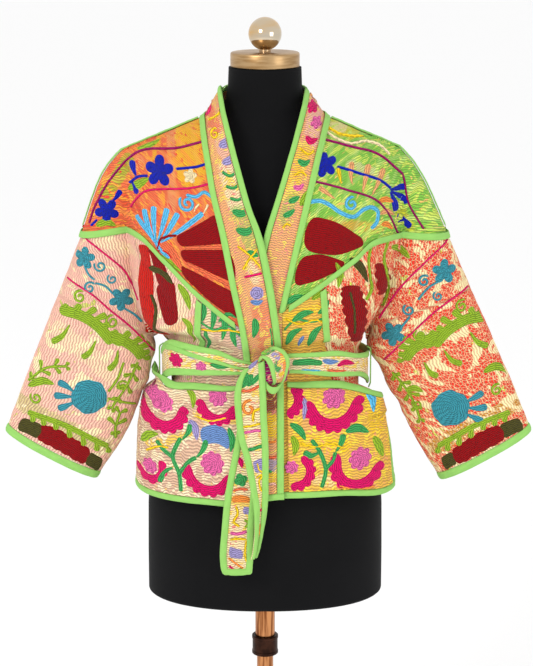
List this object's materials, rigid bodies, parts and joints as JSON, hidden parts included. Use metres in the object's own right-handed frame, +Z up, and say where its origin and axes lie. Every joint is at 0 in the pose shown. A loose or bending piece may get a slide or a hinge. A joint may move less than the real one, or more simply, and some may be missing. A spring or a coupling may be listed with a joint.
{
  "type": "kantha jacket on dress form",
  "caption": "Short quilted, embroidered wrap jacket with wide kimono sleeves, bound edges, patch pockets and a tied sash, worn on a limbless dress form on a telescopic pole",
  "frame": {"origin": "on the floor under the axis of the pole, at the centre of the base plate's underside", "axes": "+Z up along the pole, -Y the way the jacket and form face, +X the wearer's left, the viewer's right"},
  "size_m": [0.845, 0.38, 1.5547],
  "materials": {
    "yoke_right_cloth": "orange patchwork cotton under running stitch, with appliqued and couched motifs",
    "yoke_left_cloth": "light green patchwork cotton under running stitch, with appliqued and couched motifs",
    "pink_cloth": "pink and cream quilted cotton with embroidered vines and fruit",
    "red_cloth": "red and cream quilted cotton with embroidered vines and fruit",
    "sand_cloth": "beige quilted cotton with green sprigs",
    "mustard_cloth": "yellow brown quilted cotton with green sprigs",
    "pocket_cloth": "pale quilted cotton with pink carnations and crescents",
    "back_cloth": "quilted patchwork cotton",
    "band_cloth": "apricot and yellow quilted cotton",
    "lime_binding": "light green cotton bias binding",
    "black_jersey": "black jersey stretched over the form",
    "pale_brass": "brushed disc",
    "chrome_brass": "polished ball",
    "copper_brass": "streaked copper-coloured tube",
    "dark_bronze": "dark brown bronze"
  },
  "bodies": {
    "stand": {"base": "dark_bronze", "rod": "copper_brass"},
    "clamp": {"collar": "dark_bronze"},
    "dressed_form": {"upper_tube": "copper_brass", "form_torso": "black_jersey", "neck_cap": "pale_brass", "finial_ball": "chrome_brass", "front_yoke_right": "yoke_right_cloth", "front_yoke_left": "yoke_left_cloth", "back_yoke": "yoke_left_cloth", "side_panel_right": "pink_cloth", "sleeve_right": "pink_cloth", "side_panel_left": "red_cloth", "sleeve_left": "red_cloth", "front_panel_right": "sand_cloth", "front_panel_left": "mustard_cloth", "pocket_right": "pocket_cloth", "pocket_left": "pocket_cloth", "back_panel": "back_cloth", "neckband_right": "band_cloth", "neckband_left": "band_cloth", "sash_right": "band_cloth", "sash_left": "band_cloth", "sash_back": "band_cloth", "sash_knot": "band_cloth", "sash_tail_front": "band_cloth", "sash_tail_back": "band_cloth", "front_edge_binding_right": "lime_binding", "cuff_binding_right": "lime_binding", "yoke_binding_right": "lime_binding", "neckband_binding_right": "lime_binding", "front_seam_binding_right": "lime_binding", "shoulder_binding_right": "lime_binding", "slit_binding_front_right": "lime_binding", "hem_binding_front_right": "lime_binding", "pocket_binding_right": "lime_binding", "slit_binding_back_right": "lime_binding", "belt_loop_right": "lime_binding", "front_edge_binding_left": "lime_binding", "cuff_binding_left": "lime_binding", "yoke_binding_left": "lime_binding", "neckband_binding_left": "lime_binding", "front_seam_binding_left": "lime_binding", "shoulder_binding_left": "lime_binding", "slit_binding_front_left": "lime_binding", "hem_binding_front_left": "lime_binding", "pocket_binding_left": "lime_binding", "slit_binding_back_left": "lime_binding", "belt_loop_left": "lime_binding", "back_yoke_binding": "lime_binding", "hem_binding_back": "lime_binding"}
  },
  "joints": [
    {"name": "height_slide", "type": "slide", "parent": "stand", "child": "clamp", "axis": [0, 0, 1], "range_m": [-0.35, 0.2]},
    {"name": "form_turn", "type": "hinge", "parent": "clamp", "child": "dressed_form", "pos_m": [0, 0, 0.549], "axis": [0, 0, 1], "continuous": true}
  ]
}
